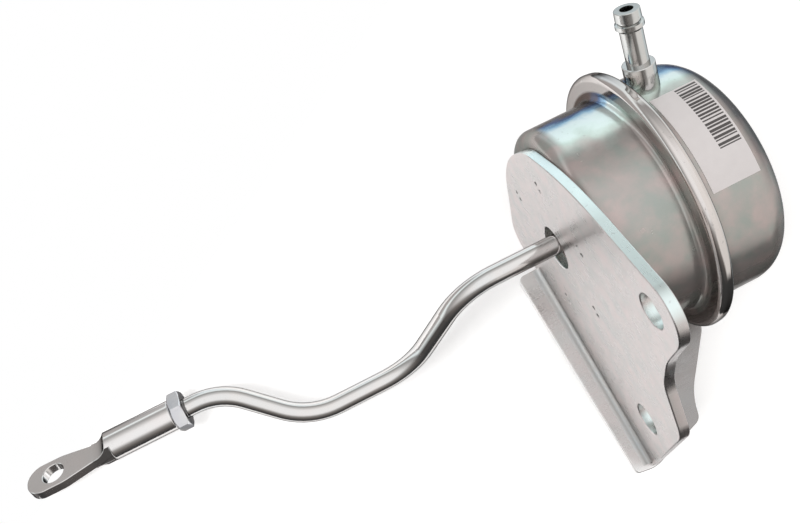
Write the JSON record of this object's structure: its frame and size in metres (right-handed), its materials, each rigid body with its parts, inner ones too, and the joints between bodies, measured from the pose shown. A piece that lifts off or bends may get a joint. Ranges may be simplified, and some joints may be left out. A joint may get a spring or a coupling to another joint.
{
  "type": "wastegate actuator",
  "caption": "Spring-return diaphragm canister with crimped rim and hose nipple on a bolt-on steel bracket; a bent push rod slides out and ends in a flat eye.",
  "frame": {"origin": "midway between the two bolt holes, on the bracket's rod side face", "axes": "+X along the line through the two bolt holes, +Z along the canister's axis from the rod side to the closed end"},
  "size_m": [0.117, 0.1031, 0.2256],
  "materials": {
    "bracket": "satin, zinc plated",
    "side_plate": "satin, zinc plated",
    "weld": "satin, zinc plated over the weld",
    "shell": "bright zinc plate on drawn sheet",
    "nipple": "bright turned, zinc plated",
    "label": "white film, plain",
    "diaphragm": "fabric-backed rubber",
    "inner_steel": "stamped, oiled",
    "spring": "spring wire",
    "bush": "sintered",
    "rod": "bright drawn wire, zinc plated",
    "rod_end": "satin turned and milled, zinc plated",
    "nut": "bright zinc plate"
  },
  "bodies": {
    "canister": {"bracket_plate": "bracket", "side_plate": "side_plate", "side_weld": "weld", "lower_can": "shell", "upper_can": "shell", "hose_nipple": "nipple", "label": "label", "diaphragm": "diaphragm", "return_spring": "spring", "spring_seat": "inner_steel", "rod_bush": "bush", "bush_retainer": "inner_steel"},
    "rod": {"actuator_rod": "rod", "piston": "inner_steel", "retainer_cup": "inner_steel", "rod_washer": "inner_steel", "piston_nut": "inner_steel", "jam_nut": "nut", "rod_end": "rod_end"}
  },
  "joints": [
    {"name": "rod_slide", "type": "slide", "parent": "canister", "child": "rod", "axis": [0, 0, -1], "range_m": [0, 0.012], "stiffness_N_per_m": 3900, "springref_m": -0.028, "deforming": ["return_spring", "diaphragm"]}
  ]
}
